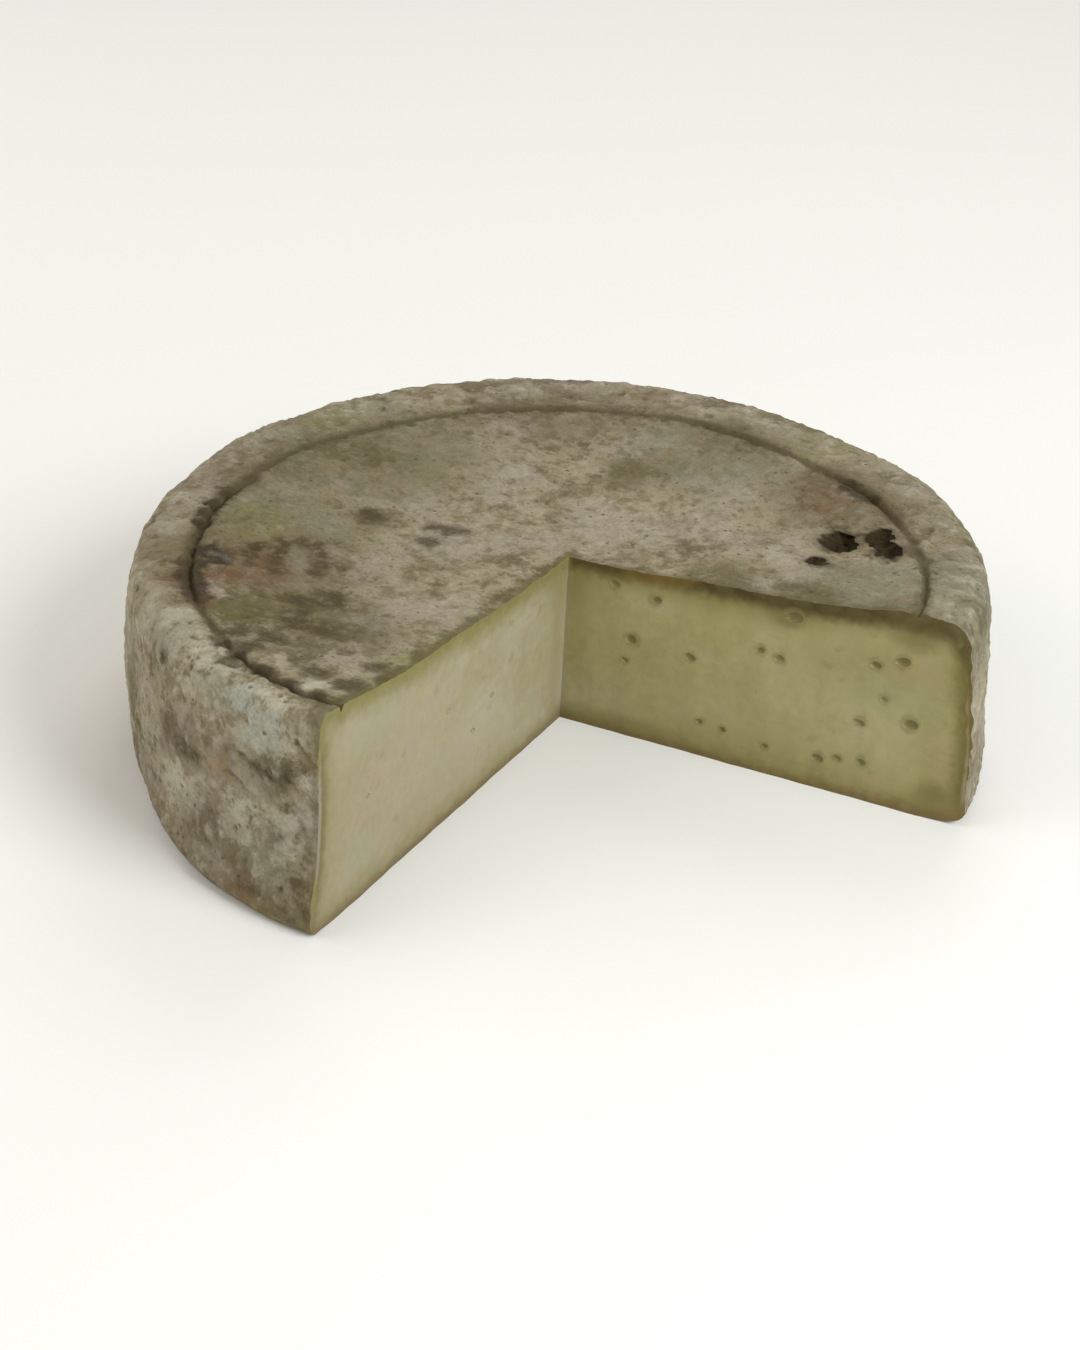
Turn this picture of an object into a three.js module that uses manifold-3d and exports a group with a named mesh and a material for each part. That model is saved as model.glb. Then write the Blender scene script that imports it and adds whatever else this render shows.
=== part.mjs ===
// A small pressed mountain cheese: a wheel with a natural rind and one sector cut out.
// Millimetres, +Z up. The origin is the middle of the bounding box, on the resting face.

import * as THREE from 'three';
import { mergeVertices } from 'three/addons/utils/BufferGeometryUtils.js';
import Module from 'manifold-3d';

const wasm = await Module();
wasm.setup();

// Wheel
const wheelRadius = 105; // mean radius of the side
const rimHeight = 51.8; // top of the wheel beside the groove
const centreHeight = 45.7; // the top is dished, lowest in the middle
const bellyHeight = 24; // widest level of the side
const sideBatter = 1.8; // how far the side leans in from the belly up to the rim
const footRadius = 4.5; // rounding of the lower edge
const shoulderExponent = 6; // how square the upper edge is: 2 is an ellipse
const topSlope = [0.015, -0.014]; // the top leans a little along x and y

// Groove that the mould's rim pressed into the top
const grooveRadius = 86.5;
const grooveDepth = 2.0;
const grooveHalfWidth = 1.2;
const grooveShift = [5.1, -11.2]; // it sits off the wheel's centre

// The plan is a little oval and a little three-cornered
const ovalTurn = 80; // direction of the long axis, degrees
const outlineOval = 2.0;
const grooveOval = 1.4;
const outlineThird = 1.0;
const thirdTurn = 16.5;

// Sector cut out with a knife
const notchCorner = [2.8, -0.9];
const leftCutTurn = -93.4; // directions of the two cut faces, degrees
const rightCutTurn = 2.0;
const cutterReach = 260;
const cutterMargin = 15; // how far the cutter stands past the bottom and the top

// The foot has spread on the side of the notch and is drawn in elsewhere
const footSpread = 3.2;
const footDrawIn = -1.2;
const spreadMiddle = -45; // degrees
const spreadFullWithin = 62;
const spreadGoneBeyond = 87;
const spreadFade = 1.5; // power by which the spread dies away up to the belly

// Slow swells of the rind: crossed waves, each with its lengths along x, y and z and its start
const swellHeight = 0.3;
const swellWaves = [
  [57, 180, 75, 0],
  [-132, 48, 50, 1.3],
  [84, 84, -41, 4.1],
];
const swellFadeIn = 9; // they start this far above the resting face
const swellTurnsUp = [14, 6]; // between these depths below the rim they turn from sideways to upwards

// Lumps along the lower edge: waves with their number round the wheel, start and share
const footWaveHeight = 0.9; // how far the edge lifts between the lumps
const footWaveBand = 12;
const footWaves = [
  [9, 1.1, 1],
  [23, 0.4, 0.7],
  [41, 0, 0.5],
];

// Mesh
const wheelSegments = 120;
const footSteps = 3;
const sideSteps = 2;
const shoulderSteps = 9;
const underRings = [0.45, 0.8];
const discRings = 7;

// Mould pits in the top: place in x and y, length, width, turn in degrees
const pits = [
  [61, 33, 9.0, 5.5, 20],
  [71, 37, 6.0, 4.5, -35],
  [76, 32, 7.0, 4.5, -60],
  [59, 20, 4.5, 3.3, 10],
];
const pitDepth = 1.8;

// Eyes that the knife opened in the right cut face:
// distance from the notch corner, height above the table, width
const rightEyes = [
  [12.4, 41.4, 2.6],
  [23.2, 39.9, 2.8],
  [17.8, 27.3, 3.6],
  [33.0, 26.7, 2.6],
  [55.3, 32.6, 2.4],
  [57.7, 44.0, 4.4],
  [84.7, 40.1, 3.5],
  [78.4, 37.5, 2.6],
  [88.3, 24.0, 4.2],
  [76.5, 21.3, 2.4],
  [67.3, 8.3, 2.4],
  [78.1, 10.5, 2.2],
];
const eyeFlatness = 0.72; // an eye is wider than it is high
const eyeDepth = 0.45; // how far it goes into the face, as a share of its width
const hollowDetail = 1; // facets of an eye or a pit

// The left cut face has only pinholes, scattered by a seeded draw
const pinholeCount = 7;
const pinholeWidth = [1.5, 2.2];
const pinholeArea = { from: 16, to: 92, low: 8, high: 36 };
const pinholeSpread = [0.2, 0.8]; // where a pinhole falls in its own stretch of the face
const pinholeSeed = 41;

const radians = THREE.MathUtils.degToRad;

// A closed three.js geometry becomes a solid
function toSolid(geometry) {
  const bare = geometry.clone();
  bare.deleteAttribute('normal');
  bare.deleteAttribute('uv');
  const merged = mergeVertices(bare, 1e-4);
  const index = merged.index.array;
  const corners = [];
  for (let i = 0; i < index.length; i += 3) {
    const [a, b, c] = [index[i], index[i + 1], index[i + 2]];
    if (a !== b && b !== c && c !== a) corners.push(a, b, c);
  }
  return new wasm.Manifold(new wasm.Mesh({
    numProp: 3,
    vertProperties: new Float32Array(merged.attributes.position.array),
    triVerts: new Uint32Array(corners),
  }));
}

// A solid becomes a three.js geometry
function toGeometry(solid) {
  const mesh = solid.getMesh();
  const geometry = new THREE.BufferGeometry();
  geometry.setAttribute('position', new THREE.BufferAttribute(new Float32Array(mesh.vertProperties), 3));
  geometry.setIndex(new THREE.BufferAttribute(new Uint32Array(mesh.triVerts), 1));
  return geometry;
}

// Height of the dished top at a share of the groove's radius
function dishHeight(share) {
  return centreHeight + (rimHeight - centreHeight) * share * share;
}

// Half of the mean section, from the middle of the resting face to the middle of the top
function sectionPoints() {
  const points = [new THREE.Vector2(0, 0)];
  for (const share of underRings) points.push(new THREE.Vector2(share * wheelRadius, 0));
  for (let i = 0; i <= footSteps; i++) {
    const a = (i / footSteps) * Math.PI / 2;
    points.push(new THREE.Vector2(
      wheelRadius - footRadius + footRadius * Math.sin(a),
      footRadius - footRadius * Math.cos(a),
    ));
  }
  for (let i = 1; i <= sideSteps; i++) {
    const z = THREE.MathUtils.lerp(footRadius, bellyHeight, i / sideSteps);
    points.push(new THREE.Vector2(wheelRadius, z));
  }
  const ringWidth = wheelRadius - grooveRadius - grooveHalfWidth;
  const power = 2 / shoulderExponent;
  for (let i = 1; i <= shoulderSteps; i++) {
    const a = (i / shoulderSteps) * Math.PI / 2;
    const out = Math.max(Math.cos(a), 0);
    const up = Math.sin(a) ** power;
    points.push(new THREE.Vector2(
      grooveRadius + grooveHalfWidth + (ringWidth - sideBatter * up) * out ** power,
      bellyHeight + (rimHeight - bellyHeight) * up,
    ));
  }
  points.push(new THREE.Vector2(grooveRadius, rimHeight - grooveDepth));
  for (let i = discRings; i >= 1; i--) {
    const share = (i / discRings) * (1 - grooveHalfWidth / grooveRadius);
    points.push(new THREE.Vector2(share * grooveRadius, dishHeight(share)));
  }
  points.push(new THREE.Vector2(0, centreHeight));
  return points;
}

// Radii of the outline and of the groove in one direction
function outlineAt(angle) {
  return wheelRadius
    + outlineOval * Math.cos(2 * (angle - radians(ovalTurn)))
    + outlineThird * Math.cos(3 * (angle - radians(thirdTurn)));
}

function grooveAt(angle) {
  return grooveRadius + grooveOval * Math.cos(2 * (angle - radians(ovalTurn)));
}

// Height of the rind's swells at a place
function swell(x, y, z) {
  let sum = 0;
  for (const [alongX, alongY, alongZ, start] of swellWaves) {
    sum += Math.sin(2 * Math.PI * (x / alongX + y / alongY + z / alongZ) + start);
  }
  return swellHeight * sum;
}

// How far the foot stands out in one direction, beyond the belly
function spreadAt(angle) {
  const fromMiddle = Math.abs(THREE.MathUtils.euclideanModulo(
    THREE.MathUtils.radToDeg(angle) - spreadMiddle + 180, 360) - 180);
  const gone = THREE.MathUtils.smoothstep(fromMiddle, spreadFullWithin, spreadGoneBeyond);
  return THREE.MathUtils.lerp(footSpread, footDrawIn, gone);
}

// How far the lower edge lifts in one direction, 0 to 1
function footWave(angle) {
  let sum = 0;
  let most = 0;
  for (const [count, start, share] of footWaves) {
    sum += share * Math.sin(count * angle + start);
    most += share;
  }
  return (1 + sum / most) / 2;
}

// Mean section spun to a wheel, then pulled to the real plan, slope and relief
function wheelSolid() {
  const geometry = new THREE.LatheGeometry(sectionPoints(), wheelSegments);
  geometry.rotateX(Math.PI / 2);
  const position = geometry.attributes.position;
  for (let i = 0; i < position.count; i++) {
    const radius = Math.hypot(position.getX(i), position.getY(i));
    const angle = Math.atan2(position.getY(i), position.getX(i));
    const height = position.getZ(i);
    const share = radius / grooveRadius;
    const ring = THREE.MathUtils.clamp((radius - grooveRadius) / (wheelRadius - grooveRadius), 0, 1);
    const reach = THREE.MathUtils.lerp(Math.min(share, 1) * grooveAt(angle), outlineAt(angle), ring);
    const rise = THREE.MathUtils.smoothstep(height, 0, swellFadeIn);
    const onTop = THREE.MathUtils.smoothstep(
      height, rimHeight - swellTurnsUp[0], rimHeight - swellTurnsUp[1]);
    const lift = rise * swell(radius * Math.cos(angle), radius * Math.sin(angle), height);
    const low = Math.max(1 - height / bellyHeight, 0) ** spreadFade;
    const out = reach + lift * (1 - onTop) + ring * low * spreadAt(angle);
    const x = out * Math.cos(angle) + grooveShift[0] * (1 - ring);
    const y = out * Math.sin(angle) + grooveShift[1] * (1 - ring);
    const lean = (height / rimHeight) * (topSlope[0] * x + topSlope[1] * y);
    const foot = THREE.MathUtils.smoothstep(radius, wheelRadius - footWaveBand, wheelRadius - footRadius)
      * (1 - rise) * footWaveHeight * footWave(angle);
    position.setXYZ(i, x, y, height + lean + lift * onTop + foot);
  }
  return toSolid(geometry);
}

// The prism that takes the sector out
function sectorSolid() {
  const corner = new THREE.Vector2(...notchCorner);
  const toEnd = (turn) => corner.clone().add(
    new THREE.Vector2(Math.cos(radians(turn)), Math.sin(radians(turn))).multiplyScalar(cutterReach),
  );
  const middleTurn = (leftCutTurn + rightCutTurn) / 2;
  const shape = new THREE.Shape([corner, toEnd(leftCutTurn), toEnd(middleTurn), toEnd(rightCutTurn)]);
  const geometry = new THREE.ExtrudeGeometry(shape, {
    depth: rimHeight + 2 * cutterMargin,
    bevelEnabled: false,
  });
  geometry.translate(0, 0, -cutterMargin);
  return toSolid(geometry);
}

// A rounded hollow, longer than it is wide
function hollowSolid(length, width, height, turn, x, y, z) {
  const geometry = new THREE.IcosahedronGeometry(0.5, hollowDetail);
  geometry.scale(length, width, height);
  geometry.rotateZ(radians(turn));
  geometry.translate(x, y, z);
  return toSolid(geometry);
}

// An eye in a cut face, at a distance from the notch corner and a height
function eyeSolid(faceTurn, along, height, width) {
  const x = notchCorner[0] + along * Math.cos(radians(faceTurn));
  const y = notchCorner[1] + along * Math.sin(radians(faceTurn));
  return hollowSolid(width, 2 * eyeDepth * width, eyeFlatness * width, faceTurn, x, y, height);
}

// Repeatable random numbers between 0 and 1
function seededRandom(seed) {
  let state = seed;
  return () => {
    state = (state * 16807) % 2147483647;
    return state / 2147483647;
  };
}

function pinholes() {
  const random = seededRandom(pinholeSeed);
  const between = (low, high) => low + (high - low) * random();
  const { from, to, low, high } = pinholeArea;
  const step = (to - from) / pinholeCount;
  const holes = [];
  for (let i = 0; i < pinholeCount; i++) {
    const along = from + step * (i + between(...pinholeSpread));
    holes.push([along, between(low, high), between(...pinholeWidth)]);
  }
  return holes;
}

// A pit in the sloping top
function pitSolid(x, y, length, width, turn) {
  const share = Math.hypot(x - grooveShift[0], y - grooveShift[1]) / grooveRadius;
  const surface = dishHeight(share) + topSlope[0] * x + topSlope[1] * y;
  return hollowSolid(length, width, 2 * pitDepth, turn, x, y, surface);
}

function cheeseWheel() {
  let solid = wheelSolid().subtract(sectorSolid());
  for (const [along, height, width] of rightEyes) {
    solid = solid.subtract(eyeSolid(rightCutTurn, along, height, width));
  }
  for (const [along, height, width] of pinholes()) {
    solid = solid.subtract(eyeSolid(leftCutTurn, along, height, width));
  }
  for (const pit of pits) solid = solid.subtract(pitSolid(...pit));
  const geometry = toGeometry(solid);
  geometry.computeBoundingBox();
  const middle = geometry.boundingBox.getCenter(new THREE.Vector3());
  geometry.translate(-middle.x, -middle.y, -geometry.boundingBox.min.z);
  geometry.computeVertexNormals();
  return geometry;
}

const wheel = new THREE.Mesh(cheeseWheel(), new THREE.MeshStandardMaterial({
  name: 'rind',
  color: new THREE.Color(0x8a826a),
  roughness: 0.85,
  metalness: 0,
}));
wheel.name = 'cheese_wheel';

const group = new THREE.Group();
group.add(wheel);

export default group;
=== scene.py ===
import math
import random

import bmesh
import bpy
import numpy as np
from mathutils import Matrix, Vector
from mathutils.bvhtree import BVHTree


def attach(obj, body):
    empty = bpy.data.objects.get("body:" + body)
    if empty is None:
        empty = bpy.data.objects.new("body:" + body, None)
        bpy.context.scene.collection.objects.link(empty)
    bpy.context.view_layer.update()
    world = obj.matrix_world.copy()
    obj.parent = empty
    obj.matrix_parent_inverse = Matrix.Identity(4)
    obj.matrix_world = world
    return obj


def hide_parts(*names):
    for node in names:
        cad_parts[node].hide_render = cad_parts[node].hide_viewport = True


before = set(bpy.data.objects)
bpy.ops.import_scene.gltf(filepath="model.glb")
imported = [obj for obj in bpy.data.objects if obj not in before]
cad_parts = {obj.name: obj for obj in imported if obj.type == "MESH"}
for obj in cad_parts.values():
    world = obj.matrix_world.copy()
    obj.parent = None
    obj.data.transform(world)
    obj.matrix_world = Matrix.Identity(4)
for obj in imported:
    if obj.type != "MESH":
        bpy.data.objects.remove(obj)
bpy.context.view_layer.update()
print("frame loaded:", sorted(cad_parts))

mm = 0.001
touching = 0.01 * mm  # what is nearer than this lies on it


# Small helpers for modelling

def deselectAll():
    for piece in bpy.context.selected_objects:
        piece.select_set(False)


def makeActive(piece):
    deselectAll()
    piece.select_set(True)
    bpy.context.view_layer.objects.active = piece


def settlePlace(piece):  # the object goes to the origin, its place goes into its mesh
    makeActive(piece)
    bpy.ops.object.transform_apply(location=True, rotation=True, scale=True)


def selectWhere(piece, kind, wanted):  # kind is FACE or EDGE
    mesh = bmesh.from_edit_mesh(piece.data)
    bpy.ops.mesh.select_all(action="DESELECT")
    bpy.ops.mesh.select_mode(type=kind)
    for part in mesh.faces if kind == "FACE" else mesh.edges:
        part.select = wanted(part)
    mesh.select_flush_mode()
    bmesh.update_edit_mesh(piece.data)


def isUpright(edge):
    return abs(edge.verts[0].co.z - edge.verts[1].co.z) > mm


def readPoints(piece, what="co"):  # the places, or with "normal" the normals
    points = np.empty(len(piece.data.vertices) * 3)
    piece.data.vertices.foreach_get(what, points)
    return points.reshape(-1, 3)


def writePoints(piece, points):
    piece.data.vertices.foreach_set("co", points.astype(np.float32).ravel())
    piece.data.update()


def smoothStep(value, low, high):
    share = np.clip((value - low) / (high - low), 0, 1)
    return share * share * (3 - 2 * share)


def waveSum(angle, waves):  # crossed waves round the wheel, -1 to 1
    total = sum(share * np.sin(count * angle + start) for count, start, share in waves)
    return total / sum(share for count, start, share in waves)


# The wheel before it is cut

wheel = {  # lengths in metres, angles in degrees
    "radius": 105 * mm,
    "rimHeight": 51.8 * mm,
    "centreHeight": 45.7 * mm,  # the top is dished
    "bellyHeight": 24 * mm,  # widest level of the side
    "sideBatter": 1.8 * mm,
    "shoulderPower": 6,  # how square the upper edge is
    "footRadius": 4.5 * mm,
    "topSlope": (0.015, -0.014),
    "ovalTurn": 80,
    "ovalReach": 2.0 * mm,
    "thirdTurn": 16.5,
    "thirdReach": 1.0 * mm,
    "planShift": (-1.584 * mm, 2.176 * mm, 0),  # from the plan's centre to the frame's origin
    "segments": 680,
    "sideCuts": 47,
    "ringSteps": [(14, 1.12 * mm), (15, 0.38 * mm), (3, 0.9 * mm)],  # insets from the rim past the groove
    "underSteps": [(4, 1.12 * mm), (4, 2.5 * mm), (5, 15 * mm)],  # the same on the resting face
    "discSpan": 170,
    "softestEdge": 50,
}

foot = {
    "spread": 3.2 * mm,  # it stands out on the side of the notch
    "drawIn": -1.2 * mm,
    "spreadMiddle": -45,
    "fullWithin": 62,
    "goneBeyond": 87,
    "fade": 1.5,
    "waveHeight": 0.9 * mm,
    "waveBand": 12 * mm,
    "waves": [(9, 1.1, 1), (23, 0.4, 0.7), (41, 0, 0.5)],  # waves round the wheel, start, share
}

toe = {  # the side stands out above the foot at the right end of the cut
    "turn": 0,
    "spread": 13,
    "reach": 2.2 * mm,
    "level": 15 * mm,
    "band": 13 * mm,
}

swells = {
    "height": 0.3 * mm,
    # wave lengths along x, y and z in millimetres, start
    "waves": [(57, 180, 75, 0), (-132, 48, 50, 1.3), (84, 84, -41, 4.1)],
    "fadeIn": 9 * mm,
    "turnsUp": (14 * mm, 6 * mm),
}

groove = {
    "radius": 86.5 * mm,
    "shift": (5.1 * mm, -11.2 * mm),
    "oval": 1.4 * mm,
    "halfWidth": 1.2 * mm,  # of the flat strip between the ring and the disc
    "crackWidth": 0.8 * mm,
    "crackPower": 2.4,  # how square its walls are
    "depth": 2.0 * mm,
    "deepPlaces": [  # direction, spread, share of the depth
        (-103, 10, 1.0), (-114, 6, 0.6), (-143, 10, 1.0), (-157, 6, 0.7), (-172, 6, 1.0),
        (54, 11, 1.0), (17, 10, 0.35), (122, 9, 0.8), (86, 8, 0.8)],
    "shallowest": 0.26,  # share of the depth left where the groove is weakest
    "depthWaves": [(17, 1.0, 0.6), (43, 2.0, 0.4), (71, 0.7, 0.4)],
    "depthWaveShare": 0.12,
    "wobble": 0.25 * mm,
    "wobbleWaves": [(5, 0.3, 1), (13, 2.1, 0.6), (29, 4.4, 0.4), (61, 1.2, 0.25)],
    "edgeDrop": 0.55 * mm,  # the rind sinks softly towards the groove
    "edgeWidth": 2.8 * mm,
}


def roundSection(radius, height):  # the straight cylinder gets its shoulder and its foot
    nothing = 1e-9
    inner = groove["radius"] + groove["halfWidth"]
    ringWidth = wheel["radius"] - inner
    belly = wheel["bellyHeight"]
    shoulderHeight = wheel["rimHeight"] - belly
    outwards = np.clip((radius - inner) / ringWidth, 0, 1)
    upwards = np.clip((height - belly) / shoulderHeight, 0, 1)
    power = wheel["shoulderPower"]
    pull = np.maximum(outwards ** power + upwards ** power, nothing) ** (-1 / power)
    upper = (radius > inner) & (height > belly)
    shoulderOut = inner + (ringWidth - wheel["sideBatter"] * upwards * pull) * outwards * pull
    shoulderUp = belly + shoulderHeight * upwards * pull
    size = wheel["footRadius"]
    outwards = np.clip((radius - wheel["radius"] + size) / size, 0, 1)
    downwards = np.clip((size - height) / size, 0, 1)
    pull = 1 / np.maximum(np.hypot(outwards, downwards), nothing)
    lower = (outwards > 0) & (downwards > 0)
    footOut = wheel["radius"] - size + size * outwards * pull
    footUp = size - size * downwards * pull
    return (
        np.where(upper, shoulderOut, np.where(lower, footOut, radius)),
        np.where(upper, shoulderUp, np.where(lower, footUp, height)),
    )


def outlineAt(angle):
    oval = wheel["ovalReach"] * np.cos(2 * (angle - math.radians(wheel["ovalTurn"])))
    third = wheel["thirdReach"] * np.cos(3 * (angle - math.radians(wheel["thirdTurn"])))
    return wheel["radius"] + oval + third


def grooveAt(angle):
    oval = groove["oval"] * np.cos(2 * (angle - math.radians(wheel["ovalTurn"])))
    return groove["radius"] + oval


def turnFrom(angle, middle):  # degrees either way
    return (np.degrees(angle) - middle + 180) % 360 - 180


def grooveDrop(radius, angle):
    aside = radius - groove["radius"] - groove["wobble"] * waveSum(angle, groove["wobbleWaves"])
    strength = groove["shallowest"] + groove["depthWaveShare"] * waveSum(angle, groove["depthWaves"])
    for turn, spread, share in groove["deepPlaces"]:
        here = np.exp(-(turnFrom(angle, turn) / spread) ** 2)
        strength = strength + (1 - groove["shallowest"]) * share * here
    strength = np.clip(strength, 0, 1)
    crack = np.exp(-np.abs(aside / groove["crackWidth"]) ** groove["crackPower"])
    soft = np.exp(-(aside / groove["edgeWidth"]) ** 2)
    return strength * (groove["depth"] * crack + groove["edgeDrop"] * soft)


def swellAt(x, y, z):
    total = 0
    for alongX, alongY, alongZ, start in swells["waves"]:
        total = total + np.sin(2 * math.pi * (x / alongX + y / alongY + z / alongZ) / mm + start)
    return swells["height"] * total


def spreadAt(angle):
    aside = np.abs(turnFrom(angle, foot["spreadMiddle"]))
    gone = smoothStep(aside, foot["fullWithin"], foot["goneBeyond"])
    return foot["spread"] + (foot["drawIn"] - foot["spread"]) * gone


def toeAt(angle, height):
    aside = turnFrom(angle, toe["turn"]) / toe["spread"]
    above = (height - toe["level"]) / toe["band"]
    return toe["reach"] * np.exp(-aside ** 2 - above ** 2)


def shapeWheel(points, withGroove=True):
    plainRadius = np.hypot(points[:, 0], points[:, 1])
    angle = np.arctan2(points[:, 1], points[:, 0])
    plainHeight = points[:, 2]
    isTop = plainHeight > wheel["rimHeight"] - touching
    radius, height = roundSection(plainRadius, plainHeight)
    share = radius / groove["radius"]
    dish = (wheel["rimHeight"] - wheel["centreHeight"]) * (1 - np.minimum(share, 1) ** 2)
    height = height - np.where(isTop, dish, 0)
    if withGroove:
        height = height - np.where(isTop, grooveDrop(plainRadius, angle), 0)
    ring = np.clip((radius - groove["radius"]) / (wheel["radius"] - groove["radius"]), 0, 1)
    reach = np.minimum(share, 1) * grooveAt(angle) * (1 - ring) + outlineAt(angle) * ring
    rise = smoothStep(height, 0, swells["fadeIn"])
    turns = wheel["rimHeight"] - np.array(swells["turnsUp"])
    onTop = smoothStep(height, turns[0], turns[1])
    onTop = np.where(isTop, 1, onTop)
    lift = rise * swellAt(radius * np.cos(angle), radius * np.sin(angle), height)
    low = np.maximum(1 - height / wheel["bellyHeight"], 0) ** foot["fade"]
    out = reach + lift * (1 - onTop) + ring * (low * spreadAt(angle) + toeAt(angle, height))
    x = out * np.cos(angle) + groove["shift"][0] * (1 - ring)
    y = out * np.sin(angle) + groove["shift"][1] * (1 - ring)
    lean = (height / wheel["rimHeight"]) * (wheel["topSlope"][0] * x + wheel["topSlope"][1] * y)
    atFoot = smoothStep(radius, wheel["radius"] - foot["waveBand"], wheel["radius"] - wheel["footRadius"])
    lump = foot["waveHeight"] * (1 + waveSum(angle, foot["waves"])) / 2
    z = height + lean + lift * onTop + atFoot * (1 - rise) * lump
    return np.stack([x, y, z], axis=1)


def insetSteps(steps):
    for count, width in steps:
        for _ in range(count):
            bpy.ops.mesh.inset(thickness=width)


def modelBlank():
    deselectAll()
    bpy.ops.mesh.primitive_cylinder_add(
        vertices=wheel["segments"], radius=wheel["radius"], depth=wheel["rimHeight"],
        end_fill_type="NGON", location=(0, 0, wheel["rimHeight"] / 2))
    blank = bpy.context.object
    blank.name = "cheeseWheel"
    settlePlace(blank)
    bpy.ops.object.mode_set(mode="EDIT")
    selectWhere(blank, "EDGE", isUpright)
    bpy.ops.mesh.subdivide(number_cuts=wheel["sideCuts"])
    selectWhere(blank, "FACE", lambda face: face.normal.z < -0.5)
    insetSteps(wheel["underSteps"])
    bpy.ops.mesh.merge(type="CENTER")
    selectWhere(blank, "FACE", lambda face: face.normal.z > 0.5)
    insetSteps(wheel["ringSteps"])
    bpy.ops.mesh.delete(type="ONLY_FACE")
    bpy.ops.mesh.select_mode(type="EDGE")
    bpy.ops.mesh.select_all(action="DESELECT")
    bpy.ops.mesh.select_non_manifold()
    bpy.ops.mesh.fill_grid(span=wheel["discSpan"], use_interp_simple=True)
    bpy.ops.mesh.select_all(action="SELECT")
    bpy.ops.mesh.normals_make_consistent(inside=False)
    bpy.ops.object.mode_set(mode="OBJECT")
    return blank


# Relief of the rind

relief = {
    "fadeFrom": 0.4 * mm,  # heights over which the relief comes in above the resting face
    "fadeTo": 5 * mm,
    "discShare": 0.7,  # the disc is smoother than the side
    "discFade": 8 * mm,
    "weightSteps": 40,
    "lumps": {"kind": "CLOUDS", "size": 14 * mm, "height": 0.8 * mm, "noise_depth": 1},
    "crust": {
        "kind": "DISTORTED_NOISE", "size": 7 * mm, "height": 0.4 * mm, "level": -0.61,
        "noise_basis": "VORONOI_F2_F1", "noise_distortion": "IMPROVED_PERLIN", "distortion": 1.6,
    },
    "crags": {"kind": "CLOUDS", "size": 4.2 * mm, "height": 0.6 * mm, "noise_depth": 4},
    "wrinkles": {"kind": "STUCCI", "size": 2.2 * mm, "height": 0.22 * mm},
    "dentCount": 90,
    "dentWidth": (1.5 * mm, 3.6 * mm),
    "dentStretch": (0.6, 1.4),
    "dentDepth": 0.4,  # share of its width
    "dentSeed": 12,
}


def addRelief(piece, name, kind, size, height, level=0.5, **settings):  # level: the texture's middle
    texture = bpy.data.textures.new(name, kind)
    texture.noise_scale = size
    for setting, value in settings.items():
        setattr(texture, setting, value)
    modifier = piece.modifiers.new(name, "DISPLACE")
    modifier.texture = texture
    modifier.texture_coords = "LOCAL"
    modifier.strength = height
    modifier.mid_level = level
    if "rind" in piece.vertex_groups:
        modifier.vertex_group = "rind"
    bpy.ops.object.modifier_apply(modifier=modifier.name)


def reliefShare(points):  # none on the resting face, less on the disc
    aside = points[:, :2] - groove["shift"]
    reach = np.hypot(aside[:, 0], aside[:, 1])
    outside = smoothStep(reach, groove["radius"] - relief["discFade"], groove["radius"])
    share = relief["discShare"] + (1 - relief["discShare"]) * outside
    return share * smoothStep(points[:, 2], relief["fadeFrom"], relief["fadeTo"])


def pressDents(piece):
    draw = random.Random(relief["dentSeed"])
    points = readPoints(piece)
    normals = readPoints(piece, "normal")
    press = np.zeros(len(points))
    small, large = relief["dentWidth"]
    for _ in range(relief["dentCount"]):
        centre = points[draw.randrange(len(points))]
        width = small + (large - small) * draw.random() ** 2
        stretch = np.array([draw.uniform(*relief["dentStretch"]) for _ in range(3)])
        away = np.linalg.norm((points - centre) * stretch, axis=1) / (width / 2)
        press = np.maximum(press, relief["dentDepth"] * width * np.exp(-away ** 3))
    writePoints(piece, points - normals * (press * reliefShare(points))[:, None])


def roughenRind(piece):
    share = reliefShare(readPoints(piece))
    group = piece.vertex_groups.new(name="rind")
    steps = relief["weightSteps"]
    for step in range(1, steps + 1):
        here = np.nonzero(np.round(share * steps) == step)[0]
        group.add(here.tolist(), step / steps, "REPLACE")
    makeActive(piece)
    for name in ("lumps", "crust", "crags", "wrinkles"):
        addRelief(piece, name, **relief[name])
    pressDents(piece)
    piece.vertex_groups.clear()


# The sector, its cut faces, the eyes and the mould pits

cut = {
    "corner": (2.8 * mm, -0.9 * mm),
    "leftTurn": -93.4,
    "rightTurn": 2.0,
    "reach": 125 * mm,
    "farReach": 200 * mm,
    "bottom": -6 * mm,
    "top": 62 * mm,
    "alongCuts": 99,
    "upCuts": 55,
    "waveHeight": 0.15 * mm,  # the knife didn't run quite straight
    "waves": [(41 * mm, 90 * mm, 0.4), (23 * mm, 37 * mm, 2.0), (9 * mm, 60 * mm, 1.1)],  # along, up, start
    "waveFadeIn": 8 * mm,
    "sliver": 0.002 * mm,  # edges shorter than this are left out after the cuts
}

rightEyes = [  # distance from the corner, height, width: all in millimetres
    (12.4, 41.4, 2.8), (23.2, 39.9, 3.0), (17.8, 27.3, 3.6), (16.4, 21.3, 1.9),
    (33.2, 26.7, 2.7), (55.3, 32.6, 2.7), (50.5, 33.7, 2.2), (57.7, 44.4, 4.4),
    (84.7, 40.1, 3.5), (78.4, 37.5, 2.9), (81.4, 29.1, 2.1), (88.3, 24.0, 4.1),
    (76.5, 21.3, 2.6), (67.3, 8.3, 2.8), (72.2, 9.8, 2.1), (78.1, 10.5, 2.6),
    (53.9, 7.7, 1.9), (42.9, 9.2, 1.8), (36.8, 9.7, 1.8),
]

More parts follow.
